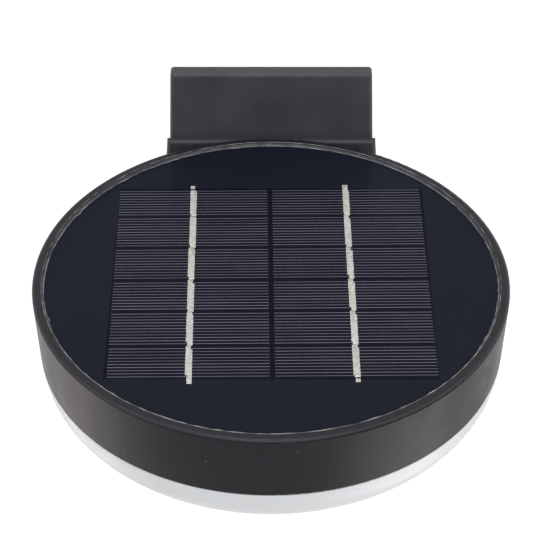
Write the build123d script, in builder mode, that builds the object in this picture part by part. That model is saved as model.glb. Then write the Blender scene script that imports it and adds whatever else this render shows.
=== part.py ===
from build123d import *
import os
from math import asin, cos, degrees, radians, sin, sqrt, tan

os.makedirs("parts", exist_ok=True)

# Round solar fence light that hangs on a plate screwed to the fence.
# Millimetres, +Z up. The fence surface is the plane Y = 0 and the lamp stands out along -Y.
# The origin lies on the fence surface, midway between the plate's two screw holes.

# ---------------------------------------------------------------- driving dimensions
# Round housing
rim_r = 80.0              # outside radius at the rim
rim_z = 14.0              # rim top above the line of the screw holes
housing_h = 24.9          # rim top to the housing's lower edge
side_draft = 3.0          # degrees that the side leans in
wall = 2.3                # skirt wall
rim_w = 3.1               # rim, outside edge to panel recess
rim_round = 1.3           # outer top edge
edge_round = 0.5          # outer lower edge
deck_t = 1.8              # floor under the panel
rib_h = 2.0               # ribs under that floor
rib_t = 1.4
rib_count = 12
inner_ring_r = 26.0       # ring ribs
outer_ring_r = 52.0
lead_hole_r = 3.5
lead_hole_y = -8.0        # from the lamp's middle

# Solar panel
panel_recess = 1.2        # panel face below the rim top
panel_t = 2.0
panel_gap = 0.6           # all round, filled by the sealant
bead_h = 0.45             # sealant standing above the panel face
bead_w = 0.5              # sealant lying over the panel's edge
bead_sag = 0.14           # dip of the sealant's face
cell_margin = 4.9         # board beside the grid's corners, which leaves cells 52 mm wide
cell_rows = (15.0, 17.1, 16.7, 16.1, 16.5, 15.7)   # cut lengths, fence side first
cell_gap = 0.55
column_gap = 1.6
cell_t = 0.25
grid_turn = 0.62          # degrees that the laid-up cells sit askew
ribbon_w = 2.2
ribbon_t = 0.12
ribbon_notch = 0.5        # break in the ribbon between two cells
ribbon_stub = 2.3         # free end of a string past its last cell
tongue_w = 1.5            # narrower end of a ribbon: left at the back, right at the front
tongue_l = 2.0
tab_l = 1.6               # separate tab at the string's other end
tab_gap = 0.5

# Fence plate
plate_top = 40.0          # above the screw line
plate_bottom = -8.0
plate_top_w = 72.2
plate_draft = 1.9         # degrees a side, narrower at the top
plate_t = 5.0
plate_face_t = 2.0
plate_wall = 1.8
plate_rib_t = 1.4
plate_rib_x = (-24.0, -12.0, 12.0, 24.0)
plate_round = 1.3         # front edge, along the sides and the top
plate_corner_r = 1.4
screw_spacing = 54.0
screw_hole_r = 2.25
screw_head_r = 4.4
screw_boss_r = 7.0

# Hood on the housing's back, and the two hooks in it
hood_drop = 1.5           # hood top below the rim top
hood_top_w = 75.9
hood_draft = 4.0          # degrees a side
hood_wall = 2.3
hood_gap = 0.3            # hood's front wall to the plate
hood_side_gap = 0.2
cheek_drop = 5.0          # hood's side cheeks below its front wall
hood_round = 1.4
hood_bite = 0.6           # how far the hood's front face stands inside the rim's circle
fence_gap = 0.6           # hood's back edges to the fence
hook_x = 12.0
hook_w = 4.2
hook_h = 6.0
hook_head_w = 8.4
hook_head_t = 1.5
hook_gap = 0.2            # hook head to the back of the plate's face
hook_seat_gap = 0.1
hook_rise = 4.0           # hook's foot above the plate's lower edge
slot_side_gap = 0.3
window_gap = 0.4
lamp_lift = 9.0           # lift that frees the hooks
shelf_drop = 8.5          # web between hood and skirt, below the rim top
shelf_t = 2.0
shelf_reach = 14.0        # deepest stretch of web, at the hood's corners
gusset_t = 2.0
gusset_count = 7
gusset_pitch = 11.6
gusset_rise = 3.0         # gusset feet above the housing's lower edge
bridge_w = 30.0           # filled middle between hood and skirt
bridge_drop = 2.2

# Opal lens
lens_t = 1.8
lens_step = 0.2           # lens set in from the housing's side
lens_seam = 0.2           # lens shoulder to the housing's edge
lens_lip = 0.8            # short straight band under the seam
lens_round = 18.0         # radius of the rolled edge
lens_edge = 0.4           # brim and floor of the dish
collar_h = 6.4
collar_gap = 0.3
lug_count = 6
lug_arc = 8.0             # degrees
lug_rise = 1.4            # lugs above the shoulder
lug_h = 1.6
lug_reach = 0.8
lug_gap = 0.2
seal_h = 1.5
seal_depth = 0.9          # let into the collar
seal_gap = 0.05
seal_drop = 1.0           # seal below the collar's top
seal_round = 0.4

# Push switch in the middle of the lens
button_r = 4.6
button_gap = 0.08
button_travel = 1.2
button_proud = 0.8        # past the floor of the dish
button_round = 0.6
dish_r = 9.0
dish_depth = 1.5
guide_h = 2.2
guide_t = 1.8
button_seal_t = 0.8
button_seal_gap = 0.3
flange_t = 1.0
flange_w = 1.3
flange_gap = 0.05
plunger_r = 1.5
plunger_gap = 0.08
plunger_grip = 1.8        # length inside the switch at rest
plunger_room = 0.3        # left above the plunger when pressed
switch_w = 8.5
switch_h = 5.0

# Light tray
tray_drop = 27.4          # tray top below the rim top
tray_t = 1.5
tray_gap = 0.7            # tray to the lens collar
tray_rim_h = 4.0
tray_boss_inset = 11.6    # four bosses, in from the tray's edge
tray_boss_r = 3.8
tray_hole_y = -5.0        # lead hole, in line with its connector
tray_hole_r = 2.4
led_board_r = 35.0
led_board_t = 1.2
led_count = 12
led_inset = 9.0           # light-emitting chips, in from the board's edge
led_size = (3.5, 2.8, 0.8)
led_fixing_inset = 4.0    # screws, in from the board's edge
led_fixing_turn = 15.0    # degrees, between two of the light-emitting chips
led_post_r = 2.6
led_post_h = 3.5
led_ring_gap = 0.3
led_ring_w = 1.5
led_ring_h = 1.0
resistor_inset = 18.0
resistor_count = 4
resistor_size = (1.2, 2.0, 0.5)

# Control board
board_size = (46.0, 32.0, 1.6)
board_y = -34.0           # from the lamp's middle
board_drop = 4.5          # board top below the floor
board_fixing = (38.0, 25.0)
board_post_r = 2.8
board_corner_r = 1.5
board_screw_l = 3.5
connector_size = (6.0, 7.5, 5.8)
connector_chamfer = 0.4
connector_pitch = 11.0
chip_size = (5.0, 6.2, 1.6)
chip_at = (-11.0, -38.0)
coil_at = (1.0, -37.0)
coil_r = 4.0
coil_h = 4.4
coil_core_r = 1.8
coil_neck = 0.9           # copper set back from the rims
coil_rim_t = 0.8
capacitor_at = (12.0, -37.0)
capacitor_r = 3.0
capacitor_h = 7.0
capacitor_round = 0.5

# Battery
cell_r = 9.2              # round lithium cell in its sleeve
battery_l = 65.2
battery_y = 28.0          # from the lamp's middle
battery_clear = 0.2       # to the ribs above
battery_round = 0.8
crimp_w = 1.2
crimp_depth = 0.5
crimp_at = 3.5            # from the positive end
saddle_x = 22.0
saddle_t = 3.0
saddle_w = 23.0
saddle_gap = 0.1
battery_tab = (0.4, 8.0, 10.0)
strap_t = 0.8
strap_w = 9.0
strap_foot = 9.0
strap_post_r = 3.5

# Leads and small screws
lead_r = 0.65
lead_pitch = 2.0
lead_slack = 0.45         # share of a run that a bend takes
red_run_y = 4.0           # how the battery's leads run round to its ends
black_run_y = 0.0
lead_run_x = 41.0
screw_r = 1.1
screw_fit = 0.05
screw_clear = 0.25
screw_l = 6.0             # length in the boss
screw_room = 1.0          # pilot hole past the screw's tip
head_r = 2.3
head_h = 1.7
head_round = 0.7

# ---------------------------------------------------------------- levels and places
edge_z = rim_z - housing_h
panel_z = rim_z - panel_recess
deck_z = panel_z - panel_t
ceiling_z = deck_z - deck_t
seat_r = rim_r - rim_w
panel_r = seat_r - panel_gap

grid_l = sum(cell_rows) + cell_gap * (len(cell_rows) - 1)
cell_w = sqrt(panel_r**2 - (grid_l / 2) ** 2) - cell_margin - column_gap / 2
column_x = (cell_w + column_gap) / 2
tab_y = grid_l / 2 + tab_gap + tab_l / 2
tongue_x = (ribbon_w - tongue_w) / 2

hood_z = rim_z - hood_drop
hood_inner_y = -(plate_t + hood_gap)
hood_front_y = hood_inner_y - hood_wall
lamp_y = hood_front_y - (rim_r - hood_bite)
shelf_z = rim_z - shelf_drop
web_y = (hood_inner_y + hood_front_y) / 2

hook_z = plate_bottom + hook_rise
hook_front_y = -(plate_t - plate_face_t) + hook_gap
hook_back_y = hook_front_y + hook_head_t
window_top = hook_z + lamp_lift + hook_h + window_gap
window_bottom = hook_z + lamp_lift - window_gap
slot_bottom = hook_z - hook_seat_gap
cross_rib_z = window_top + plate_rib_t

tray_z = rim_z - tray_drop
led_board_z = tray_z - tray_t
led_face_z = led_board_z - led_board_t
switch_z = led_face_z - switch_h

board_z = ceiling_z - board_drop
board_face_z = board_z - board_size[2]
connector_z = board_face_z - connector_size[2] / 2
connector_y = board_y + board_size[1] / 2
battery_z = ceiling_z - rib_h - battery_clear - cell_r
strap_at = cell_r + saddle_gap + strap_foot / 2

side_slope = tan(radians(side_draft))
lens_r = rim_r - side_slope * housing_h - lens_step
shoulder_z = edge_z - lens_seam
collar_z = shoulder_z + collar_h
roll_z = shoulder_z - lens_lip
roll_at = lens_r - lens_round
roll_step = degrees(asin((lens_t - lens_lip) / (lens_round - lens_t)))
lens_z = roll_z - lens_round
dish_z = lens_z + dish_depth
guide_r = button_r + button_gap
guide_z = dish_z + lens_t + guide_h
flange_z = guide_z + button_seal_t + flange_gap
flange_top_z = flange_z + flange_t
tray_r = rim_r - side_slope * (rim_z - shoulder_z) - wall - collar_gap - lens_t - tray_gap
tray_boss_circle_r = tray_r - tray_boss_inset
led_circle_r = led_board_r - led_inset
led_fixing_circle_r = led_board_r - led_fixing_inset
resistor_circle_r = led_board_r - resistor_inset
lug_z = shoulder_z + lug_rise
seal_top_z = collar_z - seal_drop

battery_end = battery_l / 2
tab_end = battery_end + battery_tab[0]
led_x = connector_pitch
battery_x = -connector_pitch
battery_plane = Plane(
    origin=(0, lamp_y + battery_y, battery_z), x_dir=(1, 0, 0), z_dir=(0, -1, 0)
)

lamp_axis = Axis((0, lamp_y, 0), (0, 0, 1))


def skirt_r(z):
    """Outside radius of the drafted skirt at height z."""
    return rim_r - side_slope * (rim_z - z)


def bore_r(z):
    """Inside radius of the skirt at height z."""
    return skirt_r(z) - wall


def collar_r(z):
    """Outside radius of the lens collar, which follows the skirt's inside."""
    return bore_r(z) - collar_gap


def plate_half_w(z):
    """Half the plate's width at height z."""
    return plate_top_w / 2 + tan(radians(plate_draft)) * (plate_top - z)


def hood_half_w(z):
    """Half the hood's width at height z."""
    return hood_top_w / 2 + tan(radians(hood_draft)) * (hood_z - z)


def tapered(half_w, low, high, more=0.0):
    """Corners of an upright outline whose half width is a function of height."""
    return [
        (-half_w(low) - more, low),
        (half_w(low) + more, low),
        (half_w(high) + more, high),
        (-half_w(high) - more, high),
    ]


def banded(inner_r, outer_r, low, high):
    """Corners of a radial section between two radii that are functions of height."""
    return [(inner_r(low), low), (outer_r(low), low), (outer_r(high), high), (inner_r(high), high)]


def groove_r(z):
    """Radius of the groove that the lens lugs snap into."""
    return collar_r(z) + lug_reach + lug_gap


def rolled(radius, angle):
    """Point on the lens's rolled edge, by its distance and angle from the roll's centre."""
    return (roll_at + radius * cos(radians(angle)), roll_z - radius * sin(radians(angle)))


def level(z):
    """Horizontal plane at height z with its origin on the lamp's axis."""
    return Plane(origin=(0, lamp_y, z), x_dir=(1, 0, 0), z_dir=(0, 0, 1))


def radial(angle):
    """Upright plane through the lamp's axis, turned by an angle in degrees."""
    a = radians(angle)
    return Plane(origin=(0, lamp_y, 0), x_dir=(cos(a), sin(a), 0), z_dir=(sin(a), -cos(a), 0))


def grid_plane(z):
    """Horizontal plane that is turned as the solar cells are."""
    turn = radians(grid_turn)
    return Plane(origin=(0, lamp_y, z), x_dir=(cos(turn), sin(turn), 0), z_dir=(0, 0, 1))


def facing_front(y):
    """Upright plane at depth y that faces away from the fence."""
    return Plane(origin=(0, y, 0), x_dir=(1, 0, 0), z_dir=(0, -1, 0))


def across(x):
    """Upright plane at x, with its own axes along Y and Z."""
    return Plane(origin=(x, lamp_y, 0), x_dir=(0, 1, 0), z_dir=(1, 0, 0))


def draw_cells(x):
    """Draw one column of solar cells, from the fence side to the front."""
    y = grid_l / 2
    for length in cell_rows:
        with Locations((x, y)):
            Rectangle(cell_w, length, align=(Align.CENTER, Align.MAX))
        y -= length + cell_gap


def draw_ribbons(x, end):
    """Draw one string's ribbons, with the stub at the fence end (1) or the front end (-1)."""
    y = grid_l / 2
    for length in cell_rows:
        half = (length - ribbon_notch) / 2
        with Locations((x, y - length / 2)):
            Rectangle(ribbon_w, 2 * (half - tongue_l))
        with Locations((x - tongue_x, y - (length - half) / 2), (x + tongue_x, y - (length + half) / 2)):
            Rectangle(tongue_w, half)
        y -= length + cell_gap
    with Locations((x - end * tongue_x, end * (grid_l + ribbon_stub - ribbon_notch) / 2)):
        Rectangle(tongue_w, ribbon_stub + ribbon_notch)


# ---------------------------------------------------------------- fence plate (fixed)
with BuildPart() as wall_plate:
    with BuildSketch(facing_front(0)) as plate_outline:
        Polygon(*tapered(plate_half_w, plate_bottom, plate_top), align=None)
        fillet(plate_outline.vertices().group_by(Axis.Y)[-1], plate_corner_r)
    extrude(amount=plate_t)
    plate_front = wall_plate.faces().sort_by(Axis.Y)[0]
    fillet(plate_front.edges().sort_by(Axis.Z)[1:], plate_round)
    # hollow back, where ribs, screw bosses and the outer wall stand
    with BuildSketch(facing_front(0)):
        Polygon(
            *tapered(plate_half_w, plate_bottom + plate_wall, plate_top - plate_wall, -plate_wall),
            align=None,
        )
        with Locations((-screw_spacing / 2, 0), (screw_spacing / 2, 0)):
            Circle(screw_boss_r, mode=Mode.SUBTRACT)
        with Locations((0, cross_rib_z), (0, (cross_rib_z + plate_top) / 2)):
            Rectangle(2 * plate_half_w(plate_bottom), plate_rib_t, mode=Mode.SUBTRACT)
        with Locations((0, (plate_bottom + plate_top) / 2)):
            Rectangle(plate_rib_t, plate_top - plate_bottom, mode=Mode.SUBTRACT)
        for x in plate_rib_x:
            with Locations((x, (cross_rib_z + plate_top) / 2)):
                Rectangle(plate_rib_t, plate_top - cross_rib_z, mode=Mode.SUBTRACT)
    extrude(amount=plate_t - plate_face_t, mode=Mode.SUBTRACT)
    # windows that take the hooks, with the slots that they drop into
    with BuildSketch(facing_front(0)):
        with Locations((-hook_x, window_bottom), (hook_x, window_bottom)):
            Rectangle(
                hook_head_w + 2 * window_gap,
                window_top - window_bottom,
                align=(Align.CENTER, Align.MIN),
            )
            Rectangle(
                hook_w + 2 * slot_side_gap,
                window_bottom - slot_bottom,
                align=(Align.CENTER, Align.MAX),
            )
    extrude(amount=plate_t, mode=Mode.SUBTRACT)
    with Locations(facing_front(-plate_t)):
        with Locations((-screw_spacing / 2, 0), (screw_spacing / 2, 0)):
            CounterSinkHole(screw_hole_r, screw_head_r, depth=plate_t)
wall_plate.part.label = "wall_plate"
export_step(wall_plate.part, "parts/wall_plate.step")

# ---------------------------------------------------------------- hood with its hooks
with BuildPart() as hood:
    with BuildSketch(facing_front(-fence_gap)):
        Polygon(*tapered(hood_half_w, edge_z, hood_z), align=None)
    extrude(amount=-fence_gap - hood_front_y)
    hood_front = hood.faces().sort_by(Axis.Y)[0]
    fillet(hood_front.edges().sort_by(Axis.Z)[1:], hood_round)
    # pocket that the plate stands in, open to the fence, the top and the bottom
    with BuildSketch(facing_front(0)):
        Polygon(*tapered(plate_half_w, edge_z, hood_z, hood_side_gap), align=None)
    extrude(amount=-hood_inner_y, mode=Mode.SUBTRACT)
    with BuildSketch(facing_front(0)):
        with Locations((0, hood_z)):
            Rectangle(2 * hood_half_w(edge_z), cheek_drop, align=(Align.CENTER, Align.MAX))
    extrude(amount=-hood_inner_y, mode=Mode.SUBTRACT)
    with BuildSketch(facing_front(hook_back_y)):
        with Locations((-hook_x, hook_z), (hook_x, hook_z)):
            Rectangle(hook_w, hook_h, align=(Align.CENTER, Align.MIN))
    extrude(amount=hook_back_y - web_y)
    with BuildSketch(facing_front(hook_back_y)):
        with Locations((-hook_x, hook_z), (hook_x, hook_z)):
            Rectangle(hook_head_w, hook_h, align=(Align.CENTER, Align.MIN))
    extrude(amount=hook_head_t)

# ---------------------------------------------------------------- housing
with BuildPart() as housing:
    # rim, panel seat, floor and drafted skirt
    with BuildSketch(radial(0)) as shell_outline:
        Polygon(
            (0, deck_z),
            (seat_r, deck_z),
            (seat_r, rim_z),
            (skirt_r(rim_z), rim_z),
            (skirt_r(edge_z), edge_z),
            (bore_r(edge_z), edge_z),
            (bore_r(ceiling_z), ceiling_z),
            (0, ceiling_z),
            align=None,
        )
        fillet(shell_outline.vertices().sort_by(Axis.X)[-1], rim_round)
        fillet(shell_outline.vertices().group_by(Axis.Y)[0].sort_by(Axis.X)[-1], edge_round)
    revolve(axis=lamp_axis)
    # groove that the lens lugs snap into
    with BuildSketch(radial(0)):
        Polygon(*banded(collar_r, groove_r, lug_z - lug_gap, lug_z + lug_h + lug_gap), align=None)
    revolve(axis=lamp_axis, mode=Mode.SUBTRACT)
    # stiffening ribs under the floor, in rings and in rays
    with BuildSketch(level(ceiling_z)):
        for r in (outer_ring_r, inner_ring_r):
            Circle(r + rib_t / 2)
            Circle(r - rib_t / 2, mode=Mode.SUBTRACT)
    extrude(amount=-rib_h)
    with BuildSketch(level(ceiling_z)):
        with PolarLocations(inner_ring_r, rib_count):
            Rectangle(
                bore_r(ceiling_z) + wall / 2 - inner_ring_r,
                rib_t,
                align=(Align.MIN, Align.CENTER),
            )
    extrude(amount=-rib_h)
    # bosses for the tray, and posts for the control board and the battery strap
    with BuildSketch(level(ceiling_z)):
        with PolarLocations(tray_boss_circle_r, 4, start_angle=45):
            Circle(tray_boss_r)
    extrude(amount=tray_z - ceiling_z)
    with BuildSketch(level(ceiling_z)):
        with Locations((0, board_y)):
            with GridLocations(board_fixing[0], board_fixing[1], 2, 2):
                Circle(board_post_r)
    extrude(amount=board_z - ceiling_z)
    with BuildSketch(level(ceiling_z)):
        with Locations((0, battery_y - strap_at), (0, battery_y + strap_at)):
            Circle(strap_post_r)
    extrude(amount=battery_z - ceiling_z)
    # saddles that the battery lies in
    for x in (-saddle_x, saddle_x):
        with BuildSketch(across(x)):
            with Locations((battery_y, battery_z)):
                Rectangle(saddle_w, ceiling_z - battery_z, align=(Align.CENTER, Align.MIN))
                Circle(cell_r + saddle_gap, mode=Mode.SUBTRACT)
        extrude(amount=saddle_t / 2, both=True)
    # hood, and the web and gussets that carry it on the skirt
    add(hood.part)
    with BuildSketch(level(shelf_z)) as web:
        with Locations((0, web_y - lamp_y)):
            Rectangle(
                (gusset_count - 1) * gusset_pitch + gusset_t,
                shelf_reach,
                align=(Align.CENTER, Align.MAX),
            )
        Circle(skirt_r(edge_z) - wall / 2, mode=Mode.SUBTRACT)
    extrude(amount=-shelf_t)
    with BuildSketch(level(shelf_z)):
        with Locations((0, web_y - lamp_y - shelf_reach / 2)):
            with GridLocations(gusset_pitch, 0, gusset_count, 1):
                Rectangle(gusset_t, shelf_reach)
        Circle(skirt_r(edge_z) - wall / 2, mode=Mode.SUBTRACT)
    extrude(amount=edge_z + gusset_rise - shelf_z)
    with BuildSketch(level(rim_z - bridge_drop)):
        with Locations((0, web_y - lamp_y)):
            Rectangle(bridge_w, shelf_reach, align=(Align.CENTER, Align.MAX))
        Circle(skirt_r(edge_z) - wall / 2, mode=Mode.SUBTRACT)
    extrude(amount=shelf_z - rim_z + bridge_drop)
    # lead hole and pilot holes
    with BuildSketch(level(deck_z)):
        with Locations((0, lead_hole_y)):
            Circle(lead_hole_r)
    extrude(amount=-deck_t, mode=Mode.SUBTRACT)
    with BuildSketch(level(tray_z)):
        with PolarLocations(tray_boss_circle_r, 4, start_angle=45):
            Circle(screw_r + screw_fit)
    extrude(amount=screw_l + screw_room, mode=Mode.SUBTRACT)
    with BuildSketch(level(board_z)):
        with Locations((0, board_y)):
            with GridLocations(board_fixing[0], board_fixing[1], 2, 2):
                Circle(screw_r + screw_fit)
    extrude(amount=board_drop, mode=Mode.SUBTRACT)
    with BuildSketch(level(battery_z)):
        with Locations((0, battery_y - strap_at), (0, battery_y + strap_at)):
            Circle(screw_r + screw_fit)
    extrude(amount=screw_l + screw_room, mode=Mode.SUBTRACT)
housing.part.label = "housing"
export_step(housing.part, "parts/housing.step")

# ---------------------------------------------------------------- opal lens
with BuildPart() as lens:
    with BuildSketch(radial(0)) as lens_outline:
        with BuildLine():
            Polyline((guide_r, dish_z), (dish_r, dish_z), (dish_r, lens_z), (roll_at, lens_z))
            ThreePointArc((roll_at, lens_z), rolled(lens_round, 45), (lens_r, roll_z))
            Polyline(
                (lens_r, roll_z),
                (lens_r, shoulder_z),
                (collar_r(shoulder_z), shoulder_z),
                (collar_r(collar_z), collar_z),
                (collar_r(collar_z) - lens_t, collar_z),
                (collar_r(shoulder_z) - lens_t, shoulder_z - lens_t),
                rolled(lens_round - lens_t, roll_step),
            )
            ThreePointArc(
                rolled(lens_round - lens_t, roll_step),
                rolled(lens_round - lens_t, 45),
                (roll_at, lens_z + lens_t),
            )
            Polyline(
                (roll_at, lens_z + lens_t),
                (dish_r + lens_t, lens_z + lens_t),
                (dish_r + lens_t, dish_z + lens_t),
                (guide_r + guide_t, dish_z + lens_t),
                (guide_r + guide_t, guide_z),
                (guide_r, guide_z),
                (guide_r, dish_z),
            )
        make_face()
        fillet(
            [
                lens_outline.vertices().sort_by_distance((dish_r, dish_z))[0],
                lens_outline.vertices().sort_by_distance((dish_r, lens_z))[0],
            ],
            lens_edge,
        )
    revolve(axis=lamp_axis)
    # groove for the seal
    with BuildSketch(radial(0)):
        Polygon(
            *banded(
                lambda z: collar_r(z) - seal_depth,
                bore_r,
                seal_top_z - seal_h,
                seal_top_z,
            ),
            align=None,
        )
    revolve(axis=lamp_axis, mode=Mode.SUBTRACT)
    # lugs that snap into the housing
    for n in range(lug_count):
        with BuildSketch(radial(n * 360 / lug_count)):
            Polygon(
                *banded(
                    lambda z: collar_r(z) - lens_t / 2,
                    lambda z: collar_r(z) + lug_reach,
                    lug_z,
                    lug_z + lug_h,
                ),
                align=None,
            )
        revolve(axis=lamp_axis, revolution_arc=lug_arc)
lens.part.label = "lens"
export_step(lens.part, "parts/lens.step")

# ---------------------------------------------------------------- seal between lens and housing
with BuildPart() as seal_ring:
    with BuildSketch(radial(0)) as seal_outline:
        Polygon(
            *banded(
                lambda z: collar_r(z) - seal_depth,
                lambda z: bore_r(z) - seal_gap,
                seal_top_z - seal_h,
                seal_top_z,
            ),
            align=None,
        )
        fillet(seal_outline.vertices().sort_by(Axis.X)[-2:], seal_round)
    revolve(axis=lamp_axis)
seal_ring.part.label = "seal_ring"
export_step(seal_ring.part, "parts/seal_ring.step")

# ---------------------------------------------------------------- solar panel
with BuildPart() as solar_board:
    with BuildSketch(level(panel_z)):
        Circle(panel_r)
    extrude(amount=-panel_t)
    # beds that the cells lie in, flush with the board's face
    with BuildSketch(grid_plane(panel_z)):
        draw_cells(-column_x)
        draw_cells(column_x)
    extrude(amount=-cell_t, mode=Mode.SUBTRACT)
solar_board.part.label = "solar_board"
export_step(solar_board.part, "parts/solar_board.step")

with BuildPart() as solar_cells_left:
    with BuildSketch(grid_plane(panel_z)):
        draw_cells(-column_x)
    extrude(amount=-cell_t)
solar_cells_left.part.label = "solar_cells_left"
export_step(solar_cells_left.part, "parts/solar_cells_left.step")

with BuildPart() as solar_cells_right:
    with BuildSketch(grid_plane(panel_z)):
        draw_cells(column_x)
    extrude(amount=-cell_t)
solar_cells_right.part.label = "solar_cells_right"
export_step(solar_cells_right.part, "parts/solar_cells_right.step")

with BuildPart() as ribbons_left:
    with BuildSketch(grid_plane(panel_z)):
        draw_ribbons(-column_x, -1)
    extrude(amount=ribbon_t)
ribbons_left.part.label = "ribbons_left"
export_step(ribbons_left.part, "parts/ribbons_left.step")

with BuildPart() as ribbons_right:
    with BuildSketch(grid_plane(panel_z)):
        draw_ribbons(column_x, 1)
    extrude(amount=ribbon_t)
ribbons_right.part.label = "ribbons_right"
export_step(ribbons_right.part, "parts/ribbons_right.step")

with BuildPart() as string_tabs:
    with BuildSketch(grid_plane(panel_z)):
        with Locations((-column_x - tongue_x, tab_y), (column_x + tongue_x, -tab_y)):
            Rectangle(tongue_w, tab_l)
    extrude(amount=ribbon_t)
string_tabs.part.label = "string_tabs"
export_step(string_tabs.part, "parts/string_tabs.step")

with BuildPart() as panel_sealant:
    with BuildSketch(radial(0)):
        with BuildLine():
            Polyline(
                (panel_r - bead_w, panel_z),
                (panel_r, panel_z),
                (panel_r, deck_z),
                (seat_r, deck_z),
                (seat_r, panel_z + bead_h),
            )
            ThreePointArc(
                (seat_r, panel_z + bead_h),
                ((panel_r + seat_r - bead_w) / 2, panel_z + bead_sag),
                (panel_r - bead_w, panel_z),
            )
        make_face()
    revolve(axis=lamp_axis)
panel_sealant.part.label = "panel_sealant"
export_step(panel_sealant.part, "parts/panel_sealant.step")

# ---------------------------------------------------------------- light tray and its lamps
with BuildPart() as light_tray:
    with BuildSketch(level(tray_z)):
        Circle(tray_r)
        with PolarLocations(tray_boss_circle_r, 4, start_angle=45):
            Circle(screw_r + screw_clear, mode=Mode.SUBTRACT)
    extrude(amount=-tray_t)
    with BuildSketch(level(tray_z)):
        Circle(tray_r)
        Circle(tray_r - tray_t, mode=Mode.SUBTRACT)
    extrude(amount=tray_rim_h)
    with BuildSketch(level(tray_z)):
        with PolarLocations(led_fixing_circle_r, 2, start_angle=led_fixing_turn):
            Circle(led_post_r)
    extrude(amount=led_post_h)
    # ring that the round board sits in
    with BuildSketch(level(led_board_z)):
        Circle(led_board_r + led_ring_gap + led_ring_w)
        Circle(led_board_r + led_ring_gap, mode=Mode.SUBTRACT)
    extrude(amount=-led_ring_h)
    with BuildSketch(level(led_board_z)):
        with PolarLocations(led_fixing_circle_r, 2, start_angle=led_fixing_turn):
            Circle(screw_r + screw_fit)
        with Locations((led_x, tray_hole_y)):
            Circle(tray_hole_r)
    extrude(amount=tray_t + led_post_h, mode=Mode.SUBTRACT)
light_tray.part.label = "light_tray"
export_step(light_tray.part, "parts/light_tray.step")

with BuildPart() as led_board:
    with BuildSketch(level(led_board_z)):
        Circle(led_board_r)
        with PolarLocations(led_fixing_circle_r, 2, start_angle=led_fixing_turn):
            Circle(screw_r + screw_clear, mode=Mode.SUBTRACT)
    extrude(amount=-led_board_t)
led_board.part.label = "led_board"
export_step(led_board.part, "parts/led_board.step")

with BuildPart() as led_chips:
    with BuildSketch(level(led_face_z)):
        with PolarLocations(led_circle_r, led_count):
            Rectangle(led_size[0], led_size[1])
    extrude(amount=-led_size[2])
led_chips.part.label = "led_chips"
export_step(led_chips.part, "parts/led_chips.step")

with BuildPart() as led_resistors:
    with BuildSketch(level(led_face_z)):
        with PolarLocations(resistor_circle_r, resistor_count):
            Rectangle(resistor_size[0], resistor_size[1])
    extrude(amount=-resistor_size[2])
led_resistors.part.label = "led_resistors"
export_step(led_resistors.part, "parts/led_resistors.step")

# ---------------------------------------------------------------- control board
with BuildPart() as control_board:
    with BuildSketch(level(board_z)):
        with Locations((0, board_y)):
            RectangleRounded(board_size[0], board_size[1], board_corner_r)
            with GridLocations(board_fixing[0], board_fixing[1], 2, 2):
                Circle(screw_r + screw_clear, mode=Mode.SUBTRACT)
    extrude(amount=-board_size[2])
control_board.part.label = "control_board"
export_step(control_board.part, "parts/control_board.step")

with BuildPart() as controller_chip:
    with BuildSketch(level(board_face_z)):
        with Locations(chip_at):
            Rectangle(chip_size[0], chip_size[1])
    extrude(amount=-chip_size[2])
controller_chip.part.label = "controller_chip"
export_step(controller_chip.part, "parts/controller_chip.step")

with BuildPart() as coil:
    with BuildSketch(level(board_face_z)):
        with Locations(coil_at):
            Circle(coil_r)
            Circle(coil_core_r, mode=Mode.SUBTRACT)
    extrude(amount=-coil_h)
    with BuildSketch(level(board_face_z - coil_rim_t)):
        with Locations(coil_at):
            Circle(coil_r)
            Circle(coil_r - coil_neck, mode=Mode.SUBTRACT)
    extrude(amount=2 * coil_rim_t - coil_h, mode=Mode.SUBTRACT)
coil.part.label = "coil"
export_step(coil.part, "parts/coil.step")

with BuildPart() as capacitor:
    with BuildSketch(level(board_face_z)):
        with Locations(capacitor_at):
            Circle(capacitor_r)
    extrude(amount=-capacitor_h)
    fillet(capacitor.faces().sort_by(Axis.Z)[0].edges(), capacitor_round)
capacitor.part.label = "capacitor"
export_step(capacitor.part, "parts/capacitor.step")

with BuildPart() as wire_connectors:
    with BuildSketch(level(board_face_z)):
        with Locations((0, connector_y - connector_size[1] / 2)):
            with GridLocations(connector_pitch, 0, 3, 1):
                Rectangle(connector_size[0], connector_size[1])
    extrude(amount=-connector_size[2])
    chamfer(wire_connectors.faces().group_by(Axis.Z)[0].edges(), connector_chamfer)
wire_connectors.part.label = "wire_connectors"
export_step(wire_connectors.part, "parts/wire_connectors.step")

# ---------------------------------------------------------------- battery
with BuildPart() as battery_cell:
    with BuildSketch(battery_plane) as battery_outline:
        Rectangle(battery_l, cell_r, align=(Align.CENTER, Align.MIN))
        fillet(battery_outline.vertices().group_by(Axis.Y)[-1], battery_round)
        with Locations((battery_end - crimp_at, cell_r)):
            Rectangle(crimp_w, crimp_depth, align=(Align.CENTER, Align.MAX), mode=Mode.SUBTRACT)
    revolve(axis=Axis(battery_plane.origin, (1, 0, 0)))
battery_cell.part.label = "battery_cell"
export_step(battery_cell.part, "parts/battery_cell.step")

with BuildPart() as battery_tabs:
    for x in (-tab_end, battery_end):
        with BuildSketch(across(x)):
            with Locations((battery_y, battery_z)):
                Rectangle(battery_tab[1], battery_tab[2])
        extrude(amount=battery_tab[0])
battery_tabs.part.label = "battery_tabs"
export_step(battery_tabs.part, "parts/battery_tabs.step")

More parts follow.
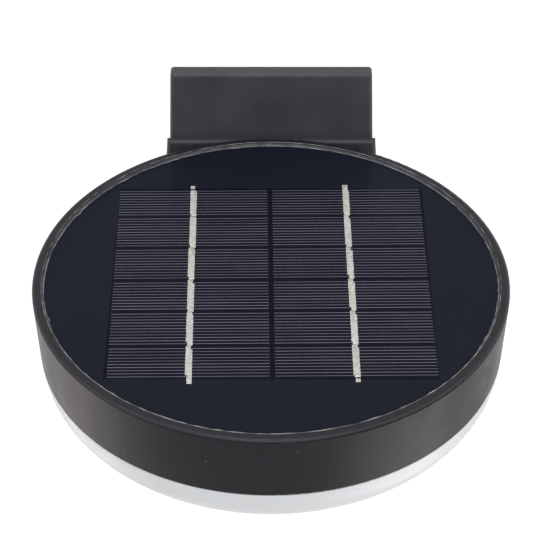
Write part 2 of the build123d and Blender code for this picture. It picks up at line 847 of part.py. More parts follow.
with BuildPart() as battery_strap:
    with BuildSketch(across(0)):
        with Locations((battery_y, battery_z)):
            Circle(cell_r + saddle_gap + strap_t)
            Rectangle(
                2 * (strap_at + strap_foot / 2), strap_t, align=(Align.CENTER, Align.MAX)
            )
            Circle(cell_r + saddle_gap, mode=Mode.SUBTRACT)
            Rectangle(4 * cell_r, 2 * cell_r, align=(Align.CENTER, Align.MIN), mode=Mode.SUBTRACT)
    extrude(amount=strap_w / 2, both=True)
    with BuildSketch(level(battery_z)):
        with Locations((0, battery_y - strap_at), (0, battery_y + strap_at)):
            Circle(screw_r + screw_clear)
    extrude(amount=-strap_t, mode=Mode.SUBTRACT)
battery_strap.part.label = "battery_strap"
export_step(battery_strap.part, "parts/battery_strap.step")

# ---------------------------------------------------------------- screws inside the lamp
with BuildPart() as tray_screws:
    with BuildSketch(level(led_board_z)):
        with PolarLocations(tray_boss_circle_r, 4, start_angle=45):
            Circle(screw_r)
    extrude(amount=tray_t + screw_l)
    with BuildSketch(level(led_board_z)):
        with PolarLocations(tray_boss_circle_r, 4, start_angle=45):
            Circle(head_r)
    extrude(amount=-head_h)
    fillet(tray_screws.faces().group_by(Axis.Z)[0].edges(), head_round)
tray_screws.part.label = "tray_screws"
export_step(tray_screws.part, "parts/tray_screws.step")

with BuildPart() as led_board_screws:
    with BuildSketch(level(led_face_z)):
        with PolarLocations(led_fixing_circle_r, 2, start_angle=led_fixing_turn):
            Circle(screw_r)
    extrude(amount=led_board_t + tray_t + led_post_h - screw_room)
    with BuildSketch(level(led_face_z)):
        with PolarLocations(led_fixing_circle_r, 2, start_angle=led_fixing_turn):
            Circle(head_r)
    extrude(amount=-head_h)
    fillet(led_board_screws.faces().group_by(Axis.Z)[0].edges(), head_round)
led_board_screws.part.label = "led_board_screws"
export_step(led_board_screws.part, "parts/led_board_screws.step")

with BuildPart() as board_screws:
    with BuildSketch(level(board_face_z)):
        with Locations((0, board_y)):
            with GridLocations(board_fixing[0], board_fixing[1], 2, 2):
                Circle(screw_r)
    extrude(amount=board_size[2] + board_screw_l)
    with BuildSketch(level(board_face_z)):
        with Locations((0, board_y)):
            with GridLocations(board_fixing[0], board_fixing[1], 2, 2):
                Circle(head_r)
    extrude(amount=-head_h)
    fillet(board_screws.faces().group_by(Axis.Z)[0].edges(), head_round)
board_screws.part.label = "board_screws"
export_step(board_screws.part, "parts/board_screws.step")

with BuildPart() as strap_screws:
    with BuildSketch(level(battery_z - strap_t)):
        with Locations((0, battery_y - strap_at), (0, battery_y + strap_at)):
            Circle(screw_r)
    extrude(amount=strap_t + screw_l)
    with BuildSketch(level(battery_z - strap_t)):
        with Locations((0, battery_y - strap_at), (0, battery_y + strap_at)):
            Circle(head_r)
    extrude(amount=-head_h)
    fillet(strap_screws.faces().group_by(Axis.Z)[0].edges(), head_round)
strap_screws.part.label = "strap_screws"
export_step(strap_screws.part, "parts/strap_screws.step")

# ---------------------------------------------------------------- leads between the boards
# each route runs from its connector on the control board, measured from the lamp's middle
half = lead_pitch / 2
leads = {
    "panel_lead_red": (
        (half, connector_y, connector_z),
        (half, lead_hole_y, connector_z),
        (half, lead_hole_y, deck_z),
    ),
    "panel_lead_black": (
        (-half, connector_y, connector_z),
        (-half, lead_hole_y, connector_z),
        (-half, lead_hole_y, deck_z),
    ),
    "led_lead_red": (
        (led_x + half, connector_y, connector_z),
        (led_x + half, tray_hole_y, connector_z),
        (led_x + half, tray_hole_y, led_board_z),
    ),
    "led_lead_black": (
        (led_x - half, connector_y, connector_z),
        (led_x - half, tray_hole_y, connector_z),
        (led_x - half, tray_hole_y, led_board_z),
    ),
    "battery_lead_red": (
        (battery_x + half, connector_y, connector_z),
        (battery_x + half, red_run_y, connector_z),
        (lead_run_x, red_run_y, connector_z),
        (lead_run_x, battery_y, connector_z),
        (tab_end, battery_y, connector_z),
    ),
    "battery_lead_black": (
        (battery_x - half, connector_y, connector_z),
        (battery_x - half, black_run_y, connector_z),
        (-lead_run_x, black_run_y, connector_z),
        (-lead_run_x, battery_y, connector_z),
        (-tab_end, battery_y, connector_z),
    ),
}
for name, points in leads.items():
    corners = [Vector(x, lamp_y + y, z) for x, y, z in points]
    runs = [(b - a).length for a, b in zip(corners, corners[1:])]
    bends = [lead_slack * min(a, b) for a, b in zip(runs, runs[1:])]
    with BuildPart() as lead:
        with BuildLine():
            FilletPolyline(*corners, radius=bends)
        with BuildSketch(Plane(origin=corners[0], z_dir=corners[1] - corners[0])):
            Circle(lead_r)
        sweep()
    lead.part.label = name
    export_step(lead.part, f"parts/{name}.step")

# ---------------------------------------------------------------- push switch
with BuildPart() as switch_body:
    with BuildSketch(level(led_face_z)):
        Rectangle(switch_w, switch_w)
    extrude(amount=-switch_h)
    with BuildSketch(level(switch_z)):
        Circle(plunger_r + plunger_gap)
    extrude(amount=plunger_grip + button_travel + plunger_room, mode=Mode.SUBTRACT)
switch_body.part.label = "switch_body"
export_step(switch_body.part, "parts/switch_body.step")

with BuildPart() as switch_plunger:
    with BuildSketch(level(flange_top_z)):
        Circle(plunger_r)
    extrude(amount=switch_z + plunger_grip - flange_top_z)
switch_plunger.part.label = "switch_plunger"
export_step(switch_plunger.part, "parts/switch_plunger.step")

with BuildPart() as switch_button:
    with BuildSketch(level(dish_z - button_proud)):
        Circle(button_r)
    extrude(amount=flange_top_z - dish_z + button_proud)
    fillet(switch_button.faces().sort_by(Axis.Z)[0].edges(), button_round)
    with BuildSketch(level(flange_z)):
        Circle(button_r + flange_w)
    extrude(amount=flange_t)
switch_button.part.label = "switch_button"
export_step(switch_button.part, "parts/switch_button.step")

with BuildPart() as button_seal:
    with BuildSketch(level(guide_z)):
        Circle(guide_r + guide_t)
        Circle(button_r + button_seal_gap, mode=Mode.SUBTRACT)
    extrude(amount=button_seal_t)
button_seal.part.label = "button_seal"
export_step(button_seal.part, "parts/button_seal.step")
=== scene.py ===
"""Solar fence light, dressed for the studio.

A charcoal housing carries a solar panel in its top and an opal lens below, and hangs on a plate
that is screwed to the fence. Everything is in metres, +Z up, in the frame's own coordinates.
"""

import math
import random

import bmesh
import bpy
from bpy.props import FloatProperty, FloatVectorProperty, PointerProperty
from mathutils import Matrix, Vector, noise


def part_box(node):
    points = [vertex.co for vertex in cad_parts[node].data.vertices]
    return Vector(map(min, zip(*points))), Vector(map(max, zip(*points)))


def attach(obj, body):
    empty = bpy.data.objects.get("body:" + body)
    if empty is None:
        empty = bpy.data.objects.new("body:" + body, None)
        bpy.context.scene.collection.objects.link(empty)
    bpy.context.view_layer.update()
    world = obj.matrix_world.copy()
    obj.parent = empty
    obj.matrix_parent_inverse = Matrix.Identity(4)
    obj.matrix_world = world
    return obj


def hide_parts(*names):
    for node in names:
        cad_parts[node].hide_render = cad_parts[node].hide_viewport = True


bl_info = {
    "name": "Solar Fence Light",
    "version": (1, 0, 0),
    "blender": (4, 5, 0),
    "location": "3D View > Sidebar > Fence Light",
    "description": "Dresses a round solar fence light on its wall plate and sets its studio",
    "category": "Object",
}

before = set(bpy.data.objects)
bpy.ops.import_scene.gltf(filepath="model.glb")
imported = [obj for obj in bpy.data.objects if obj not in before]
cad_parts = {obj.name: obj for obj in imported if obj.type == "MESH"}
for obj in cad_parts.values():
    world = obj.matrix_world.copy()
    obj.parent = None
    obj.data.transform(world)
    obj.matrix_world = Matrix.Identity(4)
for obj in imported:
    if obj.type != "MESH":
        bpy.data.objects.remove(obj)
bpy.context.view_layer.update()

MM = 0.001

# Places that the frame gives
housing_low, housing_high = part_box("housing")
board_low, board_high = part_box("solar_board")
sealant_low, sealant_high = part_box("panel_sealant")
ribbon_low, ribbon_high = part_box("ribbons_left")
lamp_middle = (board_low + board_high) / 2
rim_r = (housing_high.x - housing_low.x) / 2
rim_z = housing_high.z
seat_r = (sealant_high.x - sealant_low.x) / 2
panel_r = (board_high.x - board_low.x) / 2
panel_z = board_high.z
ribbon_t = ribbon_high.z - ribbon_low.z

# Seeds of the hand work on the panel
FINGER_SEED = 11
RIBBON_SEED = 5
SEALANT_SEED = 23

# Meshes
SAME_POINT = 0.001 * MM    # points of a CAD mesh that are closer count as one
SHARP_ANGLE = math.radians(40)

# Values of a noise texture: most of it lies between the first two, and patches turn from dark to
# light between the others
NOISE_LOW = 0.3
NOISE_HIGH = 0.7
PATCH_LOW = 0.35
PATCH_HIGH = 0.65

# Painted highlight round the rim's top edge: how far down it reaches, and its strength on the way
# up
RIM_HIGHLIGHT_DEPTH = 2 * MM
RIM_HIGHLIGHT_BAND = ((0.5, 0), (0.75, 0.8), (0.92, 0.65), (0.99, 0.28))

HOOD_CLEARANCE = 0.2 * MM  # past the rim's circle, where the painted light on the hood starts

# Section of a printed line, in shares of its width and of its height
LINE_SECTION = ((-0.5, 0), (-0.5, 0.5), (-0.4, 1), (0.4, 1), (0.5, 0.5), (0.5, 0))
LINE_SHIFT = 0.08 * MM     # how far a cell's lines may sit off its middle
LINE_UNEVEN = (0.8, 1.25)  # share of the lines' usual width

# Ribbons
FOIL_WAVES = 700           # waves of a foil's edge, for each metre
FOIL_SHARE = 0.94          # of the ribbon's thickness, which keeps the foil inside its solid
RIBBON_NUDGE = 0.1 * MM    # how far a ribbon may lie out of line
NOTCH_FILL = (0.2, 0.65)   # share of a notch that solder fills

# Face of the sealant bead, from its toe on the panel upwards, in shares of its reach and climb
BEAD_FACE = ((0, 0), (0.1, 0.14), (0.4, 0.26), (0.8, 0.5))
BEAD_STATIONS = 720        # sections round the panel
BEAD_FOOT = 0.4 * MM       # under the panel's face, between panel and rim
BEAD_MOST = 0.97           # share of the rim's inner wall that it never passes

# Waves of the bead: how close they follow each other, and what they do to its width and climb
SLOW_WAVES = 5
SLOW_WIDTH = 0.35
SLOW_CLIMB = 0.1
QUICK_WAVES = 31
QUICK_WIDTH = 0.25
QUICK_CLIMB = 0.06

# Blobs of the bead
BLOB_COUNT = 34
BLOB_SIZE = (0.1 * MM, 0.3 * MM)
BLOB_SPREAD = (0.008, 0.02)  # radians round the panel

# Section of the pale strips along the bead, dried skin and a painted highlight, in shares of its
# width and of its height
SKIN_SECTION = ((-0.5, 0), (-0.1, 1), (0.5, 2.5), (0.6, -1))
SKIN_WAVES = 23
SKIN_UNEVEN = 1.1          # what the waves do to its width
UPPER_SKIN_AND_HIGHLIGHT = (0.25, 0.8)   # share of its width at the back, and what it gains in front, where its painted highlight is widest
UPPER_INSET = 0.35         # share of its width that lies off the wall
LOWER_SKIN_AND_HIGHLIGHT = (0.6, 0.35)   # share of its width at the sides, and what it loses front and back, following its painted highlight

# Softboxes: name, place, side, share of the softbox power, colour
SOFTBOXES = (
    ("softbox_above", (-0.1, -0.15, 1.1), 0.4, 0.6, (1, 1, 1)),
    ("softbox_front", (0.1, -1.0, 0.85), 0.7, 1.12, (1, 1, 1)),
    ("softbox_left", (-0.56, 0, -0.5), 0.5, 0.16, (1, 0.9, 0.8)),
    ("softbox_right", (0.47, -0.27, -0.56), 0.48, 0.29, (1, 0.94, 0.9)),
    ("softbox_west", (-0.9, -0.4, 0.22), 0.6, 0.2, (1, 1, 1)),
    ("softbox_east", (0.9, -0.4, 0.22), 0.6, 0.2, (1, 1, 1)),
)

# Floor
FLOOR_HALF = 4.0
FLOOR_GREY = 0.65
FLOOR_GLOW = 0.66          # added where it is seen, so that the lit floor comes to white


def colour_property(name, description, default):
    """A colour that a user may change."""
    return FloatVectorProperty(
        name=name, description=description, subtype="COLOR", size=3, min=0, max=1, default=default
    )


def length_property(name, description, default):
    """A length in metres that a user may change."""
    return FloatProperty(
        name=name, description=description, subtype="DISTANCE", unit="LENGTH", default=default
    )


class FenceLightColours(bpy.types.PropertyGroup):
    """Colours of the fence light's finishes, as linear values."""

    charcoal: colour_property("Charcoal", "Housing", (0.0095, 0.0066, 0.0112))
    # Lighter colour of the hood behind the rim: painted light that lifts its shade
    hood: colour_property("Matt charcoal", "Hood behind the rim", (0.05, 0.048, 0.055))
    # Paler colour laid round the rim's top edge: a painted highlight
    edge: colour_property("Rubbed charcoal", "Top edge of the rim", (0.048, 0.044, 0.05))
    # Plate colour: its slightly purple tone is its own; its lightness over the housing's charcoal
    # is painted light on its face
    plate: colour_property("Wall plate", "Plate on the fence", (0.064, 0.061, 0.071))
    dust: colour_property("Dust", "Small light specks on the charcoal", (0.22, 0.22, 0.23))
    opal: colour_property("Opal", "Lens under the housing", (0.8, 0.81, 0.835))
    board: colour_property("Panel board", "Dark field round the cells", (0.0085, 0.011, 0.019))
    gap: colour_property("Board gaps", "Board between the cells", (0.0028, 0.0024, 0.008))
    silicon: colour_property("Silicon", "Cells between their fingers", (0.0048, 0.0048, 0.014))
    finger: colour_property("Fingers", "Fine printed lines on the cells", (0.14, 0.138, 0.174))
    ribbon: colour_property("Ribbon", "Tinned strips along the cells", (0.54, 0.53, 0.49))
    sealant: colour_property("Sealant", "Bead between panel and rim", (0.05, 0.052, 0.058))
    # Pale edge of the bead: dried sealant, and a painted highlight of the rim's inner edge
    skin: colour_property("Sealant skin", "Pale thin edge of the bead", (0.2, 0.204, 0.218))
    tray: colour_property("White plastic", "Light tray and small fittings", (0.76, 0.76, 0.74))
    button: colour_property("Button", "Soft push button in the lens", (0.5, 0.5, 0.5))


class FenceLightDetails(bpy.types.PropertyGroup):
    """Sizes of the fine detail on the fence light."""

    finger_pitch: length_property("Finger pitch", "Distance between two printed lines", 1.5 * MM)
    finger_width: length_property("Finger width", "Width of a printed line", 0.24 * MM)
    finger_height: length_property("Finger height", "Thickness of a printed line", 0.015 * MM)
    finger_bare: length_property("Finger clearance", "Bare cell beside its lines", 1.2 * MM)
    finger_margin: length_property("Finger margin", "Bare cell past a line's end", 0.06 * MM)
    ribbon_overrun: length_property("Ribbon overrun", "Ribbon past its cut end", 0.42 * MM)
    notch_width: length_property("Notch width", "Cut beside a ribbon's end", 0.7 * MM)
    notch_length: length_property("Notch length", "Cut along a ribbon's end", 2.0 * MM)
    foil_step: length_property("Foil step", "Distance between points on its edge", 0.6 * MM)
    foil_wave: length_property("Foil wave", "Unevenness of a foil's edge", 0.1 * MM)
    foil_ease: length_property("Foil ease", "Rounding of a foil's upper edge", 0.08 * MM)
    bead_climb: FloatProperty(
        name="Bead climb",
        description="Share of the rim's inner wall that sealant wets",
        default=0.6,
    )
    bead_width: length_property("Bead width", "Sealant over the panel's edge", 0.2 * MM)
    skin_width: length_property("Skin width", "Pale edge of the sealant", 0.42 * MM)
    skin_height: length_property("Skin height", "Thickness of the pale edge", 0.05 * MM)
    speck_radius: length_property("Speck radius", "Size of the dust specks", 0.22 * MM)


class FenceLightStudio(bpy.types.PropertyGroup):
    """Camera and light round the fence light."""

    elevation: FloatProperty(
        name="Elevation",
        description="Camera above the horizon",
        subtype="ANGLE",
        unit="ROTATION",
        default=math.radians(39.16),
    )
    distance: length_property("Distance", "Camera to the middle of the rim", 0.7147)
    slide: length_property("Slide", "Camera to the right of the lamp's middle", 0.98 * MM)
    lift: length_property("Lift", "Camera above its line to the lamp's middle", 0.34 * MM)
    lens: FloatProperty(
        name="Focal length", description="Camera lens in millimetres", default=139.6
    )
    room_light: FloatProperty(
        name="Room light", description="Strength of the white room", default=0.5, min=0
    )
    softbox_light: FloatProperty(
        name="Softbox light",
        description="Power that each softbox takes a share of",
        default=5.0,
        min=0,
    )
    floor_drop: length_property("Floor drop", "Floor below the fence screws", 0.8)


# ------------------------------------------------------------------ surfaces


def start_material(name, colour, roughness):
    """New material with its plain values on the shader's own sockets."""
    material = bpy.data.materials.new(name)
    material.use_nodes = True
    shader = material.node_tree.nodes["Principled BSDF"]
    shader.inputs["Base Color"].default_value = (*colour, 1)
    shader.inputs["Roughness"].default_value = roughness
    return material, material.node_tree, shader


def place_on_object(tree):
    """Coordinates that are fixed to the object."""
    return tree.nodes.new("ShaderNodeTexCoord").outputs["Object"]


def noise_on_object(tree, scale, detail=3.0):
    """Noise that is fixed to the object, with its scale in features per metre."""
    texture = tree.nodes.new("ShaderNodeTexNoise")
    texture.inputs["Scale"].default_value = scale
    texture.inputs["Detail"].default_value = detail
    tree.links.new(place_on_object(tree), texture.inputs["Vector"])
    return texture.outputs["Fac"]


def pass_test(tree, test, value, *limits):
    """1 where the value passes a test against its limits, and 0 elsewhere."""
    node = tree.nodes.new("ShaderNodeMath")
    node.operation = test
    for number, limit in enumerate(limits, start=1):
        node.inputs[number].default_value = limit
    tree.links.new(value, node.inputs[0])
    return node.outputs["Value"]


def lay_over(tree, ground, colour, share):
    """The ground's colour with a share of another colour laid over it."""
    blend = tree.nodes.new("ShaderNodeMix")
    blend.data_type = "RGBA"
    blend.inputs["B"].default_value = (*colour, 1)
    tree.links.new(share, blend.inputs["Factor"])
    tree.links.new(ground, blend.inputs["A"])
    return blend.outputs["Result"]


def shade_between(tree, source, low, high, dark, light):
    """Colours that run from dark to light while the source runs from low to high."""
    ramp = tree.nodes.new("ShaderNodeValToRGB")
    first, last = ramp.color_ramp.elements
    first.position = low
    first.color = (*dark, 1)
    last.position = high
    last.color = (*light, 1)
    tree.links.new(source, ramp.inputs["Fac"])
    return ramp.outputs["Color"]


def tint(colour, share):
    """The colour made lighter or darker by a share of itself."""
    return tuple(min(1.0, c * (1 + share)) for c in colour)


def mottle(tree, shader, colour, share, scale):
    """Soft patches a little lighter and darker than the colour."""
    source = noise_on_object(tree, scale)
    dark = tint(colour, -share)
    light = tint(colour, share)
    patches = shade_between(tree, source, PATCH_LOW, PATCH_HIGH, dark, light)
    tree.links.new(patches, shader.inputs["Base Color"])
    return patches


def vary_roughness(tree, shader, low, high, scale):
    """Roughness that wanders between two values."""
    spread = tree.nodes.new("ShaderNodeMapRange")
    spread.inputs["From Min"].default_value = NOISE_LOW
    spread.inputs["From Max"].default_value = NOISE_HIGH
    spread.inputs["To Min"].default_value = low
    spread.inputs["To Max"].default_value = high
    tree.links.new(noise_on_object(tree, scale), spread.inputs["Value"])
    tree.links.new(spread.outputs["Result"], shader.inputs["Roughness"])


def grain(tree, shader, scale, depth, strength=0.5):
    """Fine relief, with its depth in metres."""
    bump = tree.nodes.new("ShaderNodeBump")
    bump.inputs["Strength"].default_value = strength
    bump.inputs["Distance"].default_value = depth
    tree.links.new(noise_on_object(tree, scale, detail=5.0), bump.inputs["Height"])
    tree.links.new(bump.outputs["Normal"], shader.inputs["Normal"])


def add_specks(tree, ground, dust, radius, per_metre):
    """Lay small scattered specks of dust over the ground colour."""
    seeds = tree.nodes.new("ShaderNodeTexVoronoi")
    seeds.inputs["Scale"].default_value = per_metre
    tree.links.new(place_on_object(tree), seeds.inputs["Vector"])
    near = pass_test(tree, "LESS_THAN", seeds.outputs["Distance"], radius * per_metre)
    return lay_over(tree, ground, dust, near)


def paint_rim_highlight(tree, ground, colour):
    """Lay a paler colour over the ground colour round the rim's top edge: a painted highlight on
    its rounded edge and flat top.
    """
    apart = tree.nodes.new("ShaderNodeSeparateXYZ")
    height = tree.nodes.new("ShaderNodeMapRange")
    height.inputs["From Min"].default_value = rim_z - RIM_HIGHLIGHT_DEPTH
    height.inputs["From Max"].default_value = rim_z
    band = tree.nodes.new("ShaderNodeValToRGB")
    for at, share in RIM_HIGHLIGHT_BAND:
        stop = band.color_ramp.elements.new(at)
        stop.color = (share, share, share, 1)
    # the ramp's own last stop, at the very top, stays as strong as the one before it
    band.color_ramp.elements[-1].color = (share, share, share, 1)
    tree.links.new(place_on_object(tree), apart.inputs["Vector"])
    tree.links.new(apart.outputs["Z"], height.inputs["Value"])
    tree.links.new(height.outputs["Result"], band.inputs["Fac"])
    return lay_over(tree, ground, colour, band.outputs["Color"])


def paint_hood_light(tree, ground, colour):
    """Lay a lighter colour over everything that lies outside the rim's circle: painted light that
    lifts the shade on the hood behind the rim.
    """
    flat = tree.nodes.new("ShaderNodeVectorMath")
    flat.operation = "MULTIPLY"
    flat.inputs[1].default_value = (1, 1, 0)
    apart = tree.nodes.new("ShaderNodeVectorMath")
    apart.operation = "DISTANCE"
    apart.inputs[1].default_value = (lamp_middle.x, lamp_middle.y, 0)
    tree.links.new(place_on_object(tree), flat.inputs[0])
    tree.links.new(flat.outputs["Vector"], apart.inputs[0])
    beyond = pass_test(tree, "GREATER_THAN", apart.outputs["Value"], rim_r + HOOD_CLEARANCE)
    return lay_over(tree, ground, colour, beyond)


def moulded_plastic(name, colour, colours, details, is_housing=False):
    """Moulded dark plastic with a fine spark texture and a little dust.

    The housing's also has a painted highlight round the rim's top edge and painted light on the
    hood behind the rim.
    """
    material, tree, shader = start_material(name, colour, 0.5)
    ground = mottle(tree, shader, colour, share=0.12, scale=55)
    if is_housing:
        # painted highlight round the rim's top edge, and painted light on the hood
        ground = paint_hood_light(tree, paint_rim_highlight(tree, ground, colours.edge), colours.hood)
    dusty = add_specks(tree, ground, colours.dust, details.speck_radius, per_metre=150)
    tree.links.new(dusty, shader.inputs["Base Color"])
    vary_roughness(tree, shader, low=0.35, high=0.42, scale=130)
    grain(tree, shader, scale=1900, depth=0.03 * MM, strength=0.35)
    shader.inputs["Specular IOR Level"].default_value = 0.17
    return material


def opal_plastic(colours):
    """Milky lens plastic that lets light soak in."""
    material, tree, shader = start_material("opal_plastic", colours.opal, 0.34)
    mottle(tree, shader, colours.opal, share=0.015, scale=40)
    vary_roughness(tree, shader, low=0.3, high=0.4, scale=90)
    shader.inputs["Subsurface Weight"].default_value = 0.25
    shader.inputs["Subsurface Scale"].default_value = 3 * MM
    return material


def darken_between_cells(tree, ground, colour):
    """Lay a darker colour over the ground colour inside the rectangle that the cells fill, so that
    the board shows darker between the cells.
    """
    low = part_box("solar_cells_left")[0]
    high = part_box("solar_cells_right")[1]
    apart = tree.nodes.new("ShaderNodeSeparateXYZ")
    tree.links.new(place_on_object(tree), apart.inputs["Vector"])
    inside = tree.nodes.new("ShaderNodeMath")
    inside.operation = "MULTIPLY"
    for number, axis in enumerate("XY"):
        middle = (low[number] + high[number]) / 2
        half = (high[number] - low[number]) / 2
        within = pass_test(tree, "COMPARE", apart.outputs[axis], middle, half)
        tree.links.new(within, inside.inputs[number])
    return lay_over(tree, ground, colour, inside.outputs["Value"])


def resin_face(name, colour, share, scale, gap=None):
    """Dark surface under clear, softly wavy resin, with a darker colour in the gaps if given."""
    material, tree, shader = start_material(name, colour, 0.5)
    ground = mottle(tree, shader, colour, share, scale)
    if gap is not None:
        tree.links.new(darken_between_cells(tree, ground, gap), shader.inputs["Base Color"])
    grain(tree, shader, scale=90, depth=0.02 * MM, strength=0.3)
    shader.inputs["Specular IOR Level"].default_value = 0.04
    shader.inputs["Coat Weight"].default_value = 0.04
    shader.inputs["Coat Roughness"].default_value = 0.12
    return material


def printed_silver(colours):
    """Silver paste of the cells' fingers, seen through the resin."""
    material, tree, shader = start_material("printed_silver", colours.finger, 0.55)
    mottle(tree, shader, colours.finger, share=0.08, scale=60)
    shader.inputs["Metallic"].default_value = 0.2
    return material


def tinned_copper(colours):
    """Solder-coated ribbon with small pits."""
    material, tree, shader = start_material("tinned_copper", colours.ribbon, 0.5)
    mottle(tree, shader, colours.ribbon, share=0.2, scale=1100)
    vary_roughness(tree, shader, low=0.4, high=0.6, scale=700)
    grain(tree, shader, scale=1200, depth=0.04 * MM)
    shader.inputs["Metallic"].default_value = 0.25
    return material


def sealant_gel(colours):
    """Greyish clear sealant, dusty in places."""
    material, tree, shader = start_material("sealant_gel", colours.sealant, 0.3)
    mottle(tree, shader, colours.sealant, share=0.4, scale=160)
    vary_roughness(tree, shader, low=0.25, high=0.5, scale=200)
    shader.inputs["Specular IOR Level"].default_value = 0.25
    return material


def sealant_skin_and_highlight(colours):
    """Pale dried edge of the sealant, broken by darker stretches, and a painted highlight along
    the rim's inner edge.
    """
    material, tree, shader = start_material("sealant_skin_and_highlight", colours.skin, 0.5)
    mottle(tree, shader, colours.skin, share=0.7, scale=220)
    vary_roughness(tree, shader, low=0.4, high=0.6, scale=200)
    return material


def plain_finish(
    name, colour, roughness, share=0.06, scale=120, metallic=0.0, relief=0.01 * MM
):
    """Finish of a small inner piece: patches of tone, uneven gloss and a slight relief."""
    material, tree, shader = start_material(name, colour, roughness)
    mottle(tree, shader, colour, share, scale)
    vary_roughness(tree, shader, roughness * 0.85, min(1.0, roughness * 1.15), scale * 2)
    grain(tree, shader, scale * 9, relief, strength=0.4)
    shader.inputs["Metallic"].default_value = metallic
    return material


def dress(node, material):
    """Give a CAD node its finish, on the slots that it has."""
    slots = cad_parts[node].material_slots
    if not slots:
        raise RuntimeError(f"{node} has no material slot")
    for slot in slots:
        slot.material = material


# ------------------------------------------------------------------ shapes


def finish_piece(bm, name, material, body):
    """Turn the built faces into a named piece that rides on its body."""
    bmesh.ops.recalc_face_normals(bm, faces=bm.faces)
    mesh = bpy.data.meshes.new(name)
    bm.to_mesh(mesh)
    bm.free()
    mesh.materials.append(material)
    mesh.shade_smooth()
    mesh.set_sharp_from_angle(angle=SHARP_ANGLE)
    piece = bpy.data.objects.new(name, mesh)
    bpy.context.scene.collection.objects.link(piece)
    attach(piece, body)
    return piece


def plates_on_top(node):
    """Outlines of a CAD node's flat tops, the back one first, each round from its front left."""
    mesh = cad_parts[node].data
    bm = bmesh.new()
    bm.from_mesh(mesh)
    bmesh.ops.remove_doubles(bm, verts=bm.verts, dist=SAME_POINT)
    top = max(v.co.z for v in bm.verts)
    faces = {f for f in bm.faces if min(v.co.z for v in f.verts) > top - SAME_POINT}
    plates = []
    while faces:
        group = [faces.pop()]
        for face in group:
            beside = {f for e in face.edges for f in e.link_faces if f in faces}
            faces -= beside
            group.extend(beside)
        points = {v.co.copy().freeze() for f in group for v in f.verts}
        middle = sum(points, Vector()) / len(points)
        corners = sorted(points, key=lambda p: math.atan2(p.y - middle.y, p.x - middle.x))
        plates.append([p.copy() for p in corners])
    bm.free()
    plates.sort(key=lambda corners: -corners[0].y)
    return plates


def bridge(bm, one, other):
    """Faces between two rings of points."""
    for a in range(len(one)):
        b = (a + 1) % len(one)
        bm.faces.new((one[a], one[b], other[b], other[a]))


def bridge_round(bm, rings):
    """Faces between each ring and the next one, and from the last to the first."""
    for one, other in zip(rings, rings[1:] + rings[:1]):
        bridge(bm, one, other)


def lay_line(bm, start, end, width, height):
    """Straight printed line from start to end, with eased upper edges."""
    along = (end - start).normalized()
    across = Vector((along.y, -along.x, 0))
    one, other = (
        [
            bm.verts.new(point + across * (side * width) + Vector((0, 0, up * height)))
            for side, up in LINE_SECTION
        ]
        for point in (start, end)
    )
    bridge(bm, one, other)
    bm.faces.new(one)
    bm.faces.new(other)


def lay_fingers(node, name, details, material, chance):
    """Print the fine lines across each solar cell of one column."""
    bm = bmesh.new()
    for front_left, front_right, back_right, back_left in plates_on_top(node):
        length = (back_left - front_left).length
        margin = details.finger_margin / (front_right - front_left).length
        count = int((length - details.finger_bare) / details.finger_pitch) + 1
        at = (length - (count - 1) * details.finger_pitch) / 2
        at += chance.uniform(-LINE_SHIFT, LINE_SHIFT)
        for _ in range(count):
            left = front_left.lerp(back_left, at / length)
            right = front_right.lerp(back_right, at / length)
            start = left.lerp(right, margin)
            end = right.lerp(left, margin)
            width = details.finger_width * chance.uniform(*LINE_UNEVEN)
            lay_line(bm, start, end, width, details.finger_height)
            at += details.finger_pitch
    finish_piece(bm, name, material, "lamp")


def lay_foil(bm, outline, thickness, details):
    """Thin foil on the panel, with a slightly uneven outline and eased upper edges."""
    loop = []
    for here, after in zip(outline, outline[1:] + outline[:1]):
        steps = max(1, round((after - here).length / details.foil_step))
        loop.extend(here.lerp(after, step / steps) for step in range(steps))
    rings = ([], [], [])
    for number, point in enumerate(loop):
        along = (loop[(number + 1) % len(loop)] - loop[number - 1]).normalized()
        inward = Vector((-along.y, along.x, 0))
        uneven = details.foil_wave * noise.noise(point * FOIL_WAVES)
        levels = ((uneven, 0), (uneven, 0.5), (uneven + details.foil_ease, 1))
        for ring, (inset, rise) in zip(rings, levels):
            foot = point + inward * inset
            ring.append(bm.verts.new((foot.x, foot.y, panel_z + rise * thickness)))
    for one, other in zip(rings, rings[1:]):
        bridge(bm, one, other)
    bm.faces.new(rings[0])
    bm.faces.new(rings[-1])


def lay_ribbons(node, name, details, material, chance):
    """Solder one string's ribbons over its cells, each a little out of line with the next."""
    bm = bmesh.new()
    outlines = plates_on_top(node)
    for number, outline in enumerate(outlines):
        low_y = min(p.y for p in outline)
        high_y = max(p.y for p in outline)
        middle_x = sum(p.x for p in outline) / len(outline)
        nudge = chance.uniform(-RIBBON_NUDGE, RIBBON_NUDGE)
        fill = {side: chance.uniform(*NOTCH_FILL) for side in (-1, 1)}
        for point in outline:
            # side is 1 at the ribbon's back end and -1 at its front end
            side = 1 if point.y > (low_y + high_y) / 2 else -1
            is_string_end = number == (0 if side > 0 else len(outlines) - 1)
            if 0 < side * (point.x - middle_x) < details.notch_width:
                point.x += side * fill[side] * details.notch_width
            if low_y + details.ribbon_overrun < point.y < high_y - details.ribbon_overrun:
                point.y += side * fill[side] * details.notch_length
            elif not is_string_end:
                point.y += side * details.ribbon_overrun
            point.x += nudge
        lay_foil(bm, outline, ribbon_t * FOIL_SHARE, details)
    piece = finish_piece(bm, name, material, "lamp")
    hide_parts(node)


